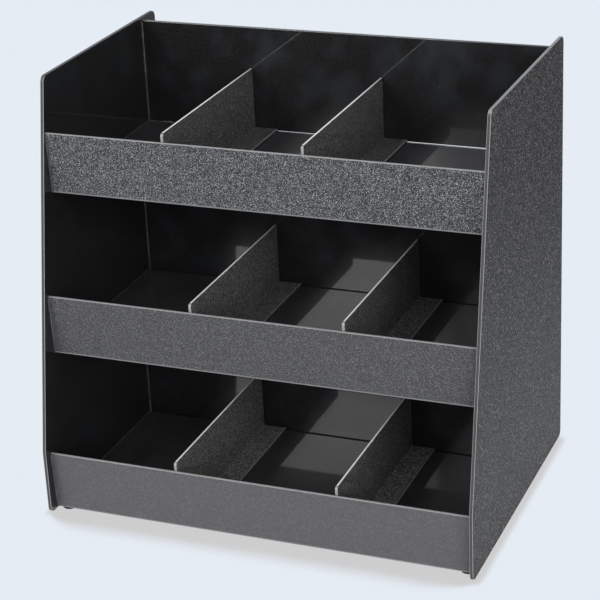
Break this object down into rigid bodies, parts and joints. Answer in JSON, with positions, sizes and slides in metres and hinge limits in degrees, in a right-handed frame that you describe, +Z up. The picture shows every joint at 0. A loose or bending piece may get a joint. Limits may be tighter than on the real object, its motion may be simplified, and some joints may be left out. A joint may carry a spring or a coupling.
{
  "type": "coffee station organizer",
  "caption": "Countertop organizer of dark plastic sheet: stepped trays between sloping side panels, split into open-topped bays by loose L-shaped dividers that slide sideways.",
  "frame": {"origin": "on the surface that the organizer stands on, below the middle of the side panels", "axes": "+X to the right as seen from the front, +Y to the rear, +Z up"},
  "size_m": [0.406, 0.286, 0.4008],
  "materials": {
    "textured_sheet": "haircell texture on one side of the sheet, smooth and glossy on the other",
    "foot_rubber": "matte"
  },
  "bodies": {
    "casing": {"left_side_panel": "textured_sheet", "right_side_panel": "textured_sheet", "bottom_tray": "textured_sheet", "middle_tray": "textured_sheet", "top_tray": "textured_sheet", "bottom_back_plate": "textured_sheet", "middle_back_plate": "textured_sheet", "top_back_plate": "textured_sheet", "front_left_foot": "foot_rubber", "front_right_foot": "foot_rubber", "rear_left_foot": "foot_rubber", "rear_right_foot": "foot_rubber"},
    "bottom_left_divider": {"bottom_left_divider": "textured_sheet"},
    "bottom_right_divider": {"bottom_right_divider": "textured_sheet"},
    "middle_left_divider": {"middle_left_divider": "textured_sheet"},
    "middle_right_divider": {"middle_right_divider": "textured_sheet"},
    "top_left_divider": {"top_left_divider": "textured_sheet"},
    "top_right_divider": {"top_right_divider": "textured_sheet"}
  },
  "joints": [
    {"name": "bottom_left_divider_slide", "type": "slide", "parent": "casing", "child": "bottom_left_divider", "axis": [1, 0, 0], "range_m": [-0.1213, 0.0635]},
    {"name": "bottom_right_divider_slide", "type": "slide", "parent": "casing", "child": "bottom_right_divider", "axis": [1, 0, 0], "range_m": [-0.0635, 0.0983]},
    {"name": "middle_left_divider_slide", "type": "slide", "parent": "casing", "child": "middle_left_divider", "axis": [1, 0, 0], "range_m": [-0.1353, 0.0581]},
    {"name": "middle_right_divider_slide", "type": "slide", "parent": "casing", "child": "middle_right_divider", "axis": [1, 0, 0], "range_m": [-0.0581, 0.0951]},
    {"name": "top_left_divider_slide", "type": "slide", "parent": "casing", "child": "top_left_divider", "axis": [1, 0, 0], "range_m": [-0.1089, 0.0515]},
    {"name": "top_right_divider_slide", "type": "slide", "parent": "casing", "child": "top_right_divider", "axis": [1, 0, 0], "range_m": [-0.0515, 0.1346]}
  ]
}
